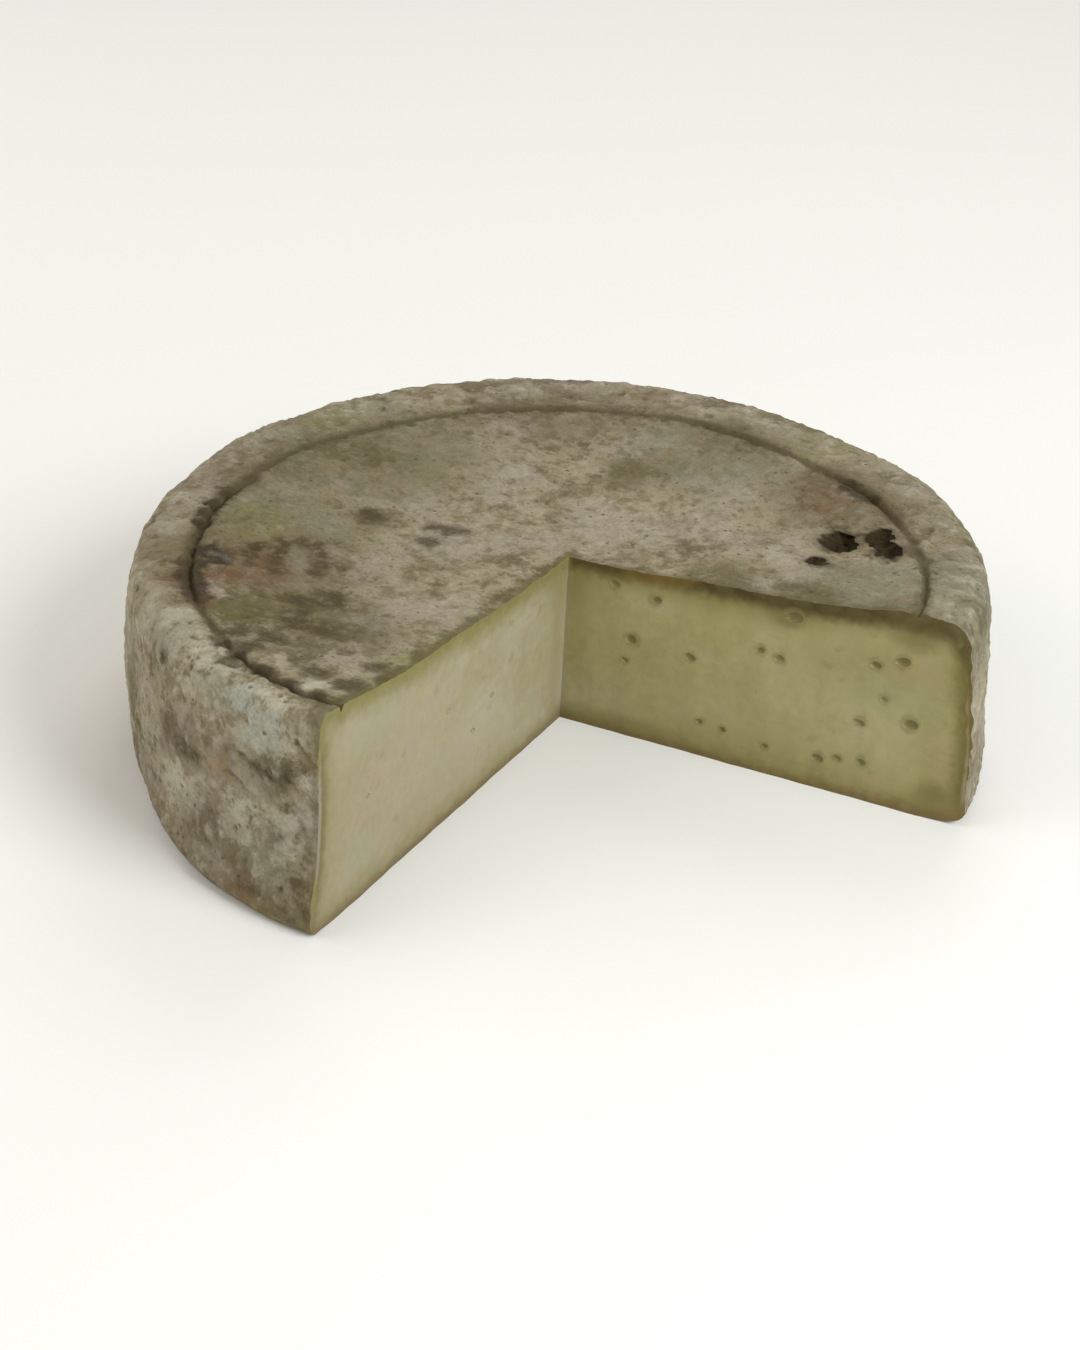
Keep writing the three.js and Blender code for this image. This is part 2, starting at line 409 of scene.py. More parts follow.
eyes = {
    "flatness": 0.72,
    "depth": 0.52,  # length into the face, as a share of the width
    "detail": 3,  # subdivisions of the tool that presses them
    "bumps": 7,
    "unevenness": 0.3,
    "tilt": 25,  # degrees either way
    "farAway": 20.0,  # millimetres: no point of the paste counts as farther from an eye
    "pinholes": 7,
    "pinholeWidth": (1.5, 2.2),
    "pinholeArea": (16, 92, 8, 36),  # along from and to, height from and to
    "pinholeSpot": (0.2, 0.8),  # where in its own stretch each may lie
    "pinholeSeed": 41,
}

mouldPits = [  # x, y, length, width and depth in millimetres, turn in degrees
    (59.4, 33.8, 12.0, 9.5, 2.3, -25), (67.5, 38, 9.5, 7.5, 2.2, -40), (72.5, 32, 10.0, 7.0, 2.2, -50),
    (57.9, 21.5, 5.5, 5.0, 1.6, 10),
]

pits = {
    "detail": 5,
    "grain": 0.25 * mm,
    "seed": 100,
    "ragged": {"kind": "CLOUDS", "size": 3 * mm, "height": 3.2 * mm, "noise_depth": 2},
    "rough": {"kind": "CLOUDS", "size": 1.1 * mm, "height": 0.7 * mm, "noise_depth": 3},
}


def alongCut(turn, distance):
    angle = math.radians(turn)
    return Vector((
        cut["corner"][0] + distance * math.cos(angle),
        cut["corner"][1] + distance * math.sin(angle),
    ))


def cutNormal(turn, side):  # out of the paste, into the notch
    angle = math.radians(turn)
    return np.array([-math.sin(angle), math.cos(angle), 0]) * side


def cutFace(turn, side):
    normal = cutNormal(turn, side)
    return {"turn": turn, "normal": normal, "along": np.array([normal[1], -normal[0], 0]) * side}


leftFace = cutFace(cut["leftTurn"], 1)
rightFace = cutFace(cut["rightTurn"], -1)


def modelSectorTool(material):
    deselectAll()
    bpy.ops.mesh.primitive_cube_add(size=1)
    tool = bpy.context.object
    middle = (cut["leftTurn"] + cut["rightTurn"]) / 2
    plan = {
        (-1, 1): alongCut(0, 0),
        (-1, -1): alongCut(cut["leftTurn"], cut["reach"]),
        (1, -1): alongCut(middle, cut["farReach"]),
        (1, 1): alongCut(cut["rightTurn"], cut["reach"]),
    }
    for vertex in tool.data.vertices:
        place = plan[(round(2 * vertex.co.x), round(2 * vertex.co.y))]
        vertex.co = (place.x, place.y, cut["top"] if vertex.co.z > 0 else cut["bottom"])
    tool.data.materials.append(material)
    makeActive(tool)
    bpy.ops.object.mode_set(mode="EDIT")
    corner = alongCut(0, 0)

    def isLevelAtCorner(edge):
        atCorner = any((vertex.co.xy - corner).length < mm for vertex in edge.verts)
        return atCorner and not isUpright(edge)

    selectWhere(tool, "EDGE", isLevelAtCorner)
    bpy.ops.mesh.subdivide(number_cuts=cut["alongCuts"])
    selectWhere(tool, "EDGE", isUpright)
    bpy.ops.mesh.subdivide(number_cuts=cut["upCuts"])
    bpy.ops.object.mode_set(mode="OBJECT")
    points = readPoints(tool)
    for face in (leftFace, rightFace):
        along = (points[:, :2] - cut["corner"]) @ face["along"][:2]
        away = (points[:, :2] - cut["corner"]) @ face["normal"][:2]
        here = (np.abs(away) < touching) & (along > mm)
        wave = 0
        for alongLength, upLength, start in cut["waves"]:
            wave = wave + np.sin(2 * math.pi * (along / alongLength + points[:, 2] / upLength) + start)
        fadeIn = smoothStep(along, 0, cut["waveFadeIn"])
        shift = cut["waveHeight"] / len(cut["waves"]) * wave * fadeIn
        points[here] += face["normal"] * shift[here, None]
    writePoints(tool, points)
    return tool


def modelHollow(name, size, turn, place, detail, seed, material):
    deselectAll()
    bpy.ops.mesh.primitive_ico_sphere_add(subdivisions=detail, radius=0.5)
    hollow = bpy.context.object
    hollow.name = name
    draw = random.Random(seed)
    bumps = []
    for _ in range(eyes["bumps"]):
        way = Vector([draw.uniform(-1, 1) for _ in range(3)]).normalized()
        bumps.append((way, draw.uniform(-1, 1)))
    for vertex in hollow.data.vertices:
        way = vertex.co.normalized()
        bulge = sum(height * max(way.dot(bump), 0) ** 3 for bump, height in bumps)
        vertex.co = vertex.co * (1 + eyes["unevenness"] * bulge)
    hollow.scale = size
    lean = math.radians(draw.uniform(-eyes["tilt"], eyes["tilt"]))
    hollow.rotation_euler = (0, lean, math.radians(turn))
    hollow.location = place
    settlePlace(hollow)
    hollow.data.materials.append(material)
    return hollow


def joinAll(pieces):
    deselectAll()
    for piece in pieces:
        piece.select_set(True)
    bpy.context.view_layer.objects.active = pieces[0]
    bpy.ops.object.join()
    return pieces[0]


def pinholes():
    draw = random.Random(eyes["pinholeSeed"])
    start, end, low, high = eyes["pinholeArea"]
    step = (end - start) / eyes["pinholes"]
    for i in range(eyes["pinholes"]):
        along = start + step * (i + draw.uniform(*eyes["pinholeSpot"]))
        yield along, draw.uniform(low, high), draw.uniform(*eyes["pinholeWidth"])


def modelEyeTool(material):
    made = []
    for face, holes in ((rightFace, rightEyes), (leftFace, list(pinholes()))):
        for along, height, width in holes:
            place = alongCut(face["turn"], along * mm)
            size = Vector((width, eyes["depth"] * width, eyes["flatness"] * width)) * mm
            place = (place.x, place.y, height * mm)
            made.append(modelHollow(
                "eye", size, face["turn"], place, eyes["detail"], len(made), material))
    return joinAll(made)


def topAt(surface, x, y):  # nothing beside the wheel
    return surface.ray_cast(Vector((x, y, 1)), Vector((0, 0, -1)))[0]


def modelPitTool(material, surface):
    made = []
    for x, y, length, width, depth, turn in mouldPits:
        place = topAt(surface, x * mm, y * mm)
        size = Vector((length, width, 2 * depth)) * mm
        made.append(modelHollow(
            "pit", size, turn, place, pits["detail"], pits["seed"] + len(made), material))
    tool = joinAll(made)
    makeActive(tool)
    for name in ("ragged", "rough"):
        addRelief(tool, name, **pits[name])
    modifier = tool.modifiers.new("remesh", "REMESH")  # the ragged skin folds over itself
    modifier.mode = "VOXEL"
    modifier.voxel_size = pits["grain"]
    bpy.ops.object.modifier_apply(modifier=modifier.name)
    return tool


def makeTriangles(piece):  # flat faces give clean cuts
    makeActive(piece)
    bpy.ops.object.mode_set(mode="EDIT")
    bpy.ops.mesh.select_mode(type="FACE")
    bpy.ops.mesh.select_all(action="SELECT")
    bpy.ops.mesh.quads_convert_to_tris()
    bpy.ops.object.mode_set(mode="OBJECT")


def takeAway(piece, tool):
    makeTriangles(tool)
    modifier = piece.modifiers.new("takeAway", "BOOLEAN")
    modifier.operation = "DIFFERENCE"
    modifier.solver = "MANIFOLD"
    modifier.material_mode = "TRANSFER"
    modifier.object = tool
    makeActive(piece)
    bpy.ops.object.modifier_apply(modifier=modifier.name)
    bpy.data.objects.remove(tool)


def dropSlivers(piece):  # the cuts leave a few
    makeTriangles(piece)
    bpy.ops.object.mode_set(mode="EDIT")
    bpy.ops.mesh.select_all(action="SELECT")
    bpy.ops.mesh.dissolve_degenerate(threshold=cut["sliver"])
    bpy.ops.object.mode_set(mode="OBJECT")


# What the materials need to know about each point, in millimetres

def storeFloat(piece, name, values):
    attribute = piece.data.attributes.new(name, "FLOAT", "POINT")
    attribute.data.foreach_set("value", np.asarray(values, dtype=np.float32))


def surfaceOf(piece, points=None):
    if points is None:
        points = readPoints(piece)
    corners = [tuple(polygon.vertices) for polygon in piece.data.polygons]
    return BVHTree.FromPolygons([tuple(point) for point in points], corners)


def measureRind(piece, points, smoothSurface, roughSurface):
    rindDepth = np.empty(len(points))
    underTop = np.empty(len(points))
    height = np.empty(len(points))
    for i, point in enumerate(points):
        place = Vector(point)
        rindDepth[i] = roughSurface.find_nearest(place)[3]
        top = topAt(roughSurface, place.x, place.y)
        underTop[i] = top.z - place.z if top else 0
        found, normal, _, _ = smoothSurface.find_nearest(place)
        height[i] = (place - found).dot(normal)
    level = np.median(height[rindDepth < touching])
    storeFloat(piece, "rindDepth", rindDepth / mm)
    storeFloat(piece, "underTop", underTop / mm)
    storeFloat(piece, "relief", (height - level) / mm)


def measureGroove(piece, points):
    aside = points[:, :2] - groove["shift"]
    angle = np.arctan2(aside[:, 1], aside[:, 0])
    gap = np.hypot(aside[:, 0], aside[:, 1]) - grooveAt(angle)
    gap = gap - groove["wobble"] * waveSum(angle, groove["wobbleWaves"])
    storeFloat(piece, "grooveGap", gap / mm)


def measureCut(piece, points):
    behind = []
    for face in (leftFace, rightFace):
        away = (points[:, :2] - cut["corner"]) @ face["normal"][:2]
        along = (points[:, :2] - cut["corner"]) @ face["along"][:2]
        behind.append(np.hypot(away, np.minimum(along, 0)))
    storeFloat(piece, "cutDepth", np.minimum(*behind) / mm)
    eyeGap = np.full(len(points), eyes["farAway"])
    for along, level, width in rightEyes:
        place = alongCut(rightFace["turn"], along * mm)
        away = np.linalg.norm(points - (place.x, place.y, level * mm), axis=1)
        eyeGap = np.minimum(eyeGap, away / mm - width / 2)
    storeFloat(piece, "eyeGap", eyeGap)


# Shader maths

class Wire:  # a socket that can stand in a sum
    def __init__(self, paint, socket):
        self.paint = paint
        self.socket = socket

    def reckon(self, operation, first, second):
        return self.paint.node("ShaderNodeMath", {"operation": operation}, {0: first, 1: second})

    def __add__(self, other):
        return self.reckon("ADD", self, other)

    __radd__ = __add__

    def __sub__(self, other):
        return self.reckon("SUBTRACT", self, other)

    def __rsub__(self, other):
        return self.reckon("SUBTRACT", other, self)

    def __mul__(self, other):
        return self.reckon("MULTIPLY", self, other)

    __rmul__ = __mul__

    def __abs__(self):
        return self.paint.node("ShaderNodeMath", {"operation": "ABSOLUTE"}, {0: self})

    def most(self, other):
        return self.reckon("MAXIMUM", self, other)

    def least(self, other):
        return self.reckon("MINIMUM", self, other)


def tone(red, green, blue):  # screen values from 0 to 255 to a shader colour
    def toLinear(value):
        value = value / 255
        return value / 12.92 if value <= 0.04045 else ((value + 0.055) / 1.055) ** 2.4

    return (toLinear(red), toLinear(green), toLinear(blue), 1)


class Paint:
    def __init__(self, name, look):
        self.look = look
        self.tones = {word: tone(*value) for word, value in look["tones"].items()}
        self.material = bpy.data.materials.new(name)
        self.material.use_nodes = True
        self.tree = self.material.node_tree
        self.tree.nodes.clear()
        self.place = self.node("ShaderNodeTexCoord", {}, {}, "Object")
        noises = look.get("noises", {})
        self.noises = {word: self.noise(*values) for word, values in noises.items()}

    def node(self, kind, settings, inputs, output=0):
        made = self.tree.nodes.new(kind)
        for name, value in settings.items():
            setattr(made, name, value)
        for name, value in inputs.items():
            if isinstance(value, Wire):
                self.tree.links.new(value.socket, made.inputs[name])
            else:
                made.inputs[name].default_value = value
        return Wire(self, made.outputs[output]) if made.outputs else made

    def attribute(self, name):
        return self.node("ShaderNodeAttribute", {"attribute_name": name}, {}, "Fac")

    def along(self, axis):
        return self.node("ShaderNodeSeparateXYZ", {}, {"Vector": self.place}, axis)

    def moved(self, shift, stretch=(1, 1, 1)):
        inputs = {"Vector": self.place, "Location": shift, "Scale": stretch}
        return self.node("ShaderNodeMapping", {}, inputs)

    def noise(self, size, detail, rough, shift=(0, 0, 0), stretch=(1, 1, 1)):
        inputs = {"Vector": self.moved(shift, stretch), "Scale": 1 / size}
        inputs.update({"Detail": detail, "Roughness": rough})
        return self.node("ShaderNodeTexNoise", {}, inputs)

    def mix(self, name):  # noises in their shares
        shares = self.look["mixes"][name]
        return sum(share * self.noises[noise] for noise, share in shares.items())

    def swing(self, name):  # the same about their middle, to push a value either way
        shares = self.look["swings"][name]
        return sum(share * (self.noises[noise] - 0.5) for noise, share in shares.items())

    def cells(self, name):  # how far the nearest of many scattered points is
        size, shift = self.look["cells"][name]
        inputs = {"Vector": self.moved(shift), "Scale": 1 / size}
        return self.node("ShaderNodeTexVoronoi", {}, inputs, "Distance")

    def between(self, value, low, high):  # 0 before low, 1 past high, smooth in between
        return self.node(
            "ShaderNodeMapRange", {"interpolation_type": "SMOOTHSTEP"},
            {"Value": value, "From Min": low, "From Max": high})

    def fade(self, name, value):
        return self.between(value, *self.look["fades"][name])

    def strength(self, name, share):  # from its first value to its second
        first, second = self.look["strengths"][name]
        return first + (second - first) * share

    def vectors(self, operation, first, second):
        return self.node("ShaderNodeVectorMath", {"operation": operation}, {0: first, 1: second})

    def blend(self, share, first, second, kind="MIX"):
        return self.node(
            "ShaderNodeMix", {"data_type": "RGBA", "blend_type": kind, "clamp_factor": True},
            {"Factor": share, 6: first, 7: second}, 2)

    def layer(self, colour, toneName, share):
        return self.blend(share, colour, self.tones[toneName])

    def coat(self, colour, name, value, toneName=None, mask=1):  # comes in with the value's fade
        share = self.fade(name, value) * (self.look["strengths"][name] * mask)
        return self.layer(colour, toneName or name, share)

    def tint(self, colour, name, value):  # from its first tint to its second
        tints = self.look["tints"][name]
        return self.blend(1.0, colour, self.blend(self.fade(name, value), *tints), "MULTIPLY")

    def frayedPlace(self, name):  # pushed about, so that the edge of a patch frays
        size, reach, detail = self.look["frays"][name]
        inputs = {"Vector": self.place, "Scale": 1 / size, "Detail": detail}
        push = self.node("ShaderNodeTexNoise", {}, inputs, "Color")
        push = self.vectors("SUBTRACT", push, (0.5, 0.5, 0.5))
        push = self.node("ShaderNodeVectorMath", {"operation": "SCALE"}, {0: push, "Scale": reach})
        return self.vectors("ADD", self.place, push)

    def patches(self, places, frayed, breakUp, fullest):  # where fullest is low, the middle is mottled
        total = None
        for x, y, z, wide, high in places:
            away = self.vectors("SUBTRACT", frayed, (x * mm, y * mm, z * mm))
            away = self.vectors("DIVIDE", away, (wide * mm, wide * mm, high * mm))
            near = 1 - self.node("ShaderNodeVectorMath", {"operation": "LENGTH"}, {0: away}, "Value")
            total = near if total is None else total.most(near)
        return self.between(total.least(fullest) + breakUp, *patchEdge)

    def layPatches(self, colour, groups, frayed, breakUp):
        for toneName, strength, fullest, places in groups:
            share = self.patches(places, frayed, breakUp, fullest) * strength
            colour = self.layer(colour, toneName, share)
        return colour

    def bump(self, height):
        strength, distance = self.look["bump"]
        inputs = {"Strength": strength, "Distance": distance, "Height": height}
        return self.node("ShaderNodeBump", {}, inputs)

    def finish(self, inputs):
        inputs["Specular IOR Level"] = self.look["specular"]
        shader = self.node("ShaderNodeBsdfPrincipled", {}, inputs)
        self.node("ShaderNodeOutputMaterial", {}, {"Surface": shader})
        return self.material


# Rind

rindLook = {
    "tones": {  # screen values
        "taupe": (144, 134, 110),
        "brown": (118, 106, 80),
        "umber": (88, 73, 46),
        "sage": (94, 90, 63),
        "olive": (84, 76, 42),
        "moss": (118, 113, 66),
        "bloom": (170, 164, 145),
        "ash": (126, 122, 102),
        "frost": (156, 157, 144),
        "ochre": (138, 114, 76),
        "lilac": (148, 139, 125),
        "mauve": (158, 143, 128),
        "rust": (96, 70, 44),
        "stain": (68, 57, 30),
        "swirl": (72, 59, 34),
        "deepGrooveSoilAndShade": (44, 33, 14),
        "pit": (44, 32, 3),
    },
    "noises": {  # size, detail, roughness, shift
        "middle": (8 * mm, 5, 0.65, (1.3, 0.4, 0.2)),
        "small": (3.8 * mm, 4, 0.65, (0.2, 1.4, 2.2)),
        "fine": (1.7 * mm, 3, 0.7, (0.7, 2.1, 0.9)),
        "grain": (0.7 * mm, 2, 0.7),
        "lilac": (19 * mm, 4, 0.6, (7.7, 1.2, 3.7)),
        "olive": (11 * mm, 5, 0.65, (4.1, 0.2, 0.7)),
        "blotches": (12 * mm, 2, 0.5, (2.2, 0.6, 1.9)),
    },
    "fades": {  # where a thing starts to show, where it is full
        "ground": (0.4, 0.56),
        "outer": (1, 12),  # millimetres past the groove, from the disc to the side
        "leftCut": (8 * mm, 1 * mm),
        "lilac": (0.48, 0.62),
        "olive": (0.52, 0.66),
        "lowDown": (24 * mm, 4 * mm),
        "blotches": (0.45, 0.62),
        "raised": (-0.05, 0.7),
        "sunken": (-0.1, -0.6),
        "cutEdge": (3.4, 0.2),
        "pores": (0.2, 0.08),
        "poreZones": (0.46, 0.54),
        "soiled": (3.0, 0.4),
        "aboveFoot": (30 * mm, 40 * mm),
        "pit": (-0.1, 0.7),
        "specks": (0.36, 0.64),
    },
    "strengths": {
        "lilac": 0.6, "olive": 0.5, "lowDown": 0.3, "blotches": 0.3, "pores": 0.65, "soiled": 0.55,
        "pit": 0.94,
        "raised": (0.2, 0.52), "sunken": (0.42, 0.48),  # on the disc and on the side
        "cutEdge": (0.55, 0.75),  # at the right and at the left face
    },
    "mixes": {  # how much of each noise
        "ground": {"middle": 0.5, "small": 0.5},
        "specks": {"grain": 0.5, "fine": 0.5},
        "height": {"small": 0.5, "fine": 0.35, "grain": 0.2},
    },
    "swings": {  # how far each noise pushes a value about, in the value's unit
        "patches": {"middle": 1.5, "small": 2.0, "fine": 0.9},
        "marks": {"middle": 1.05, "small": 1.4, "fine": 0.63},
        "lowDown": {"middle": 10 * mm},
        "raised": {"middle": 0.7, "small": 1.7, "fine": 1.0},
        "cutEdge": {"middle": 5, "small": 3},
        "leftCut": {"middle": 9, "small": 3},  # that much more at the left face
        "pores": {"fine": 0.25},
        "soiled": {"middle": 7, "small": 3},
    },
    "fromRelief": 1.3,  # weight of the modelled relief in what is raised or sunken
    "leftCutReach": 0.8,  # millimetres that the edge's tone reaches farther at the left face
    "cutEdgeLoss": 0.4,  # it is fainter on the side
    "frays": {"patches": (8 * mm, 14 * mm, 5), "marks": (4 * mm, 5 * mm, 5)},  # size, reach, detail
    "cells": {"pores": (3.4 * mm, (0.4, 0.3, 0.1))},  # size, shift
    "tints": {"specks": ((0.87, 0.86, 0.84, 1), (1.12, 1.12, 1.12, 1))},
    "bump": (0.7, 0.6 * mm),
    "roughness": 0.86,
    "specular": 0.3,
}

patchEdge = (-0.05, 0.65)  # where a patch starts to show, where it is full

# tone, how strongly it shows, its share at the middle of a patch,
# then the patches: x, y, z, half width and half height in millimetres
rindPatches = [
    ("umber", 0.85, 0.36, [
        (-58, -46, 50, 32, 12), (-32, -62, 50, 22, 9), (-86, 4, 52, 24, 12), (52, 58, 50, 24, 9),
        (-40, 75, 50, 30, 12), (20, 92, 50, 22, 9), (-46, -95, 31, 11, 10), (-26, -99, 3, 20, 8),
        (-85, -58, 10, 34, 12), (30, 100, 14, 40, 12), (-100, 30, 20, 30, 12), (92, 45, 20, 26, 12),
        (96, 36, 52, 16, 12), (-28, -99, 15, 22, 10), (-88, -18, 51, 14, 10)]),
    ("sage", 0.8, 0.36, [
        (-66, 22, 50, 34, 12), (-86, 32, 52, 26, 12), (72, 12, 50, 18, 9), (97, 26, 50, 18, 16),
        (-64, -24, 50, 24, 9), (10, 66, 50, 26, 9), (-74, -70, 30, 14, 12), (60, 85, 34, 20, 12),
        (-50, 92, 34, 24, 12)]),
    ("moss", 0.5, 0.5, [
        (-3, -84, 51, 7, 8), (-3, -70, 50, 7, 8), (-3, -56, 49, 6, 8), (-3, -42, 48, 5, 8),
        (-84, 32, 51, 9, 8), (-66, -31, 50, 13, 9), (-46, -67, 50, 12, 9), (-14, -103, 2, 13, 5),
        (34, 84, 51, 10, 8)]),
    ("rust", 0.65, 0.5, [
        (-57, -50, 50, 15, 9), (-65, -62, 50, 9, 9), (-28, -100, 33, 7, 8), (-24, -101, 7, 12, 6),
        (48, 56, 51, 9, 8), (-10, 88, 50, 12, 8)]),
    ("olive", 0.8, 0.55, [
        (-46, -67, 50, 14, 9), (-36, -55, 50, 10, 9), (-28, -62, 50, 12, 9), (-48, -8, 48, 8, 8),
        (-68, 20, 50, 12, 9), (-17, -102, 37, 8, 8), (-26, -78, 50, 9, 9), (60, 6, 50, 10, 9),
        (80, 5, 51, 8, 9), (-55, -90, 45, 7, 7), (-4, 48, 47, 10, 8), (40, 4, 48, 12, 9)]),
    ("mauve", 0.7, 0.8, [
        (-58, -66, 51, 6, 6), (-27, -84, 52, 5, 5), (-40, -88, 52, 7, 6), (88, 40, 50, 8, 8)]),
    ("bloom", 0.65, 0.8, [
        (-20, -102, 47, 10, 8), (-38, -96, 52, 12, 8), (-54, -87, 50, 10, 8),
        (-44, -95, 17, 11, 8), (-13, -103, 25, 7, 8), (-26, -101, 20, 8, 7), (40, 96, 40, 14, 8),
        (-88, 52, 40, 14, 8)]),
]

# the same for small marks, whose edges fray less
rindMarks = [
    ("moss", 0.7, 0.85, [
        (-6, -103, 2, 7, 4), (-12, -102, 1, 9, 4), (-22, -101, 1, 7, 3), (-3, -86, 52, 5, 8),
        (-3, -76, 51, 5, 8), (-3, -64, 50, 5, 8)]),
    ("sage", 0.4, 0.8, [
        (94, 38, 50, 20, 12), (84, 54, 52, 16, 10), (98, 22, 46, 16, 14), (97, 8, 45, 12, 10)]),
    ("ochre", 0.6, 0.8, [(-31.5, -98.4, 33, 7, 5), (-24, -100, 3, 11, 4)]),
    ("ash", 0.55, 0.8, [
        (-50, -40, 49, 6, 8), (-24, -59, 50, 8, 8), (-54, -20, 48, 7, 8), (76, 22, 51, 9, 8),
        (-31, -98, 49, 11, 6), (-55, -88, 50, 10, 8), (-45, -93, 18, 10, 7), (74, 12, 51, 12, 8),
        (90, 27, 52, 17, 10), (93, 8, 52, 13, 10), (-18, -101, 14, 14, 8), (-34, -98, 10, 10, 6)]),
    ("frost", 0.85, 0.7, [(-19.6, -101, 46, 8, 8), (-26, -100, 50, 7, 5)]),
    ("bloom", 0.8, 0.8, [
        (-20.5, -101, 53, 4.5, 2.5), (-14, -89.5, 53, 4.5, 6), (-36, -64, 51, 3, 6), (-6, -103, 38, 5, 4),
        (-25, -100, 25, 6, 5), (-46, -93, 22, 6, 5), (-14, -102, 17, 5, 4)]),
    ("olive", 0.85, 0.9, [
        (-39, -58, 50, 8, 8), (-33, -67, 50, 9, 8), (-25, -62, 50, 8, 8), (-35, -50, 49, 7, 8),
        (-41, -66, 51, 7, 8)]),
    ("stain", 0.9, 0.85, [
        (-39.5, -57, 50, 5.5, 8), (-34, -49, 49, 5.5, 8), (-33, -67, 51, 6, 8), (-27, -66, 51, 5.5, 8),
        (-37, -54, 50, 4.5, 8), (-36, -62, 50, 4.5, 8),
        (-41, -79, 52, 4.5, 8), (-35.5, -83, 52, 4.5, 8), (-34, -77, 52, 5, 8), (-18, -85, 53, 5, 8),
        (-9, -86, 53, 5, 8), (-49, -7, 47, 6, 8), (-30, -12, 46, 4.5, 8), (-64, -50, 50, 5, 8),
        (-33, -4, 46, 3.4, 8), (-29.2, -3.2, 46, 3.8, 8), (-25.5, -2.6, 46, 3.2, 8),
        (-25, -100, 38.5, 4, 3), (-21, -101, 37.5, 4, 3.5), (-17, -102, 37, 4.5, 4),
        (-13, -102, 37.5, 4, 3.5), (-41, -95, 31, 8, 6), (-36, -97, 19.5, 3.5, 3),
        (-37.5, -96.5, 6.5, 3.5, 3), (-33.5, -98, 4, 4.5, 3),
        (-29, -99, 4.5, 4.5, 3), (-14, -102, 21, 5, 3), (-53.5, -89, 47, 3.5, 3), (-36, -91, 52.5, 3.5, 3),
        (-8.5, -102.6, 9, 5, 4), (-9, -74.5, 51, 4, 8), (-3.5, -78.5, 51, 4, 8), (-1.5, -90, 52, 3, 8),
        (-16, -102, 0, 3, 2), (-9, -103, 1, 3, 2)]),
    ("umber", 0.6, 0.8, [(-31, -98, 3, 13, 5), (-20, -101, 6, 9, 4), (-38, -96, 12, 8, 6)]),
    ("rust", 0.8, 0.8, [
        (-56, -44, 50, 7, 8), (-52, -47, 50, 5, 8), (-58.5, -56, 51, 6, 8), (-57, -71, 52, 5, 8)]),
    ("swirl", 0.95, 0.9, [
        (-51.5, -47, 50, 3.4, 8), (-54.8, -42.5, 49, 3.2, 8), (-56.5, -38, 49, 3.2, 8),
        (-56.8, -34, 49, 3.6, 8), (-54.6, -30.8, 48, 3.8, 8), (-51, -30.2, 48, 3.6, 8),
        (-47.8, -32.6, 48, 3.6, 8), (-45.6, -36.5, 48, 3.6, 8), (-44.8, -41, 49, 3.4, 8),
        (-58.2, -48.8, 50, 3.2, 8), (-60.2, -44.5, 50, 3.2, 8), (-60.6, -40, 50, 3.2, 8)]),
    ("deepGrooveSoilAndShade", 0.9, 0.8, [  # soil and painted shadow, thick in the deeper stretches of the groove
        (-67.5, -56, 51, 6, 8), (-64.5, -53, 51, 5, 8), (-69, -50, 51, 5, 8), (-58, -70, 52, 4.5, 8),
        (-66.5, -60.5, 52, 4.5, 8), (-64, -63, 52, 4.5, 8),
        (-61, -66, 52, 4.5, 8), (-11.5, -94.2, 52, 3, 8), (-20.3, -92.2, 52, 3, 8),
        (-27, -89.5, 52, 3, 8),
        (-82, -21, 52, 4, 8), (-81, -28, 52, 3.5, 8), (-79.5, -33, 52, 3.5, 8), (-77, -38.8, 52, 3.5, 8),
        (-35.7, -88, 52, 3, 8), (-41, -85, 52, 2.6, 8), (55.6, 60, 52, 5, 8), (50.6, 63.5, 52, 5, 8)]),
    # dark mould in and round the mould pits, darker inside as painted shade
    ("pit", 0.9, 0.7, [
        (57.8, 36, 50, 8, 9), (66, 40.2, 50, 7, 9), (71, 34.2, 50, 7, 9), (56.3, 23.7, 50, 4.5, 9)]),
]


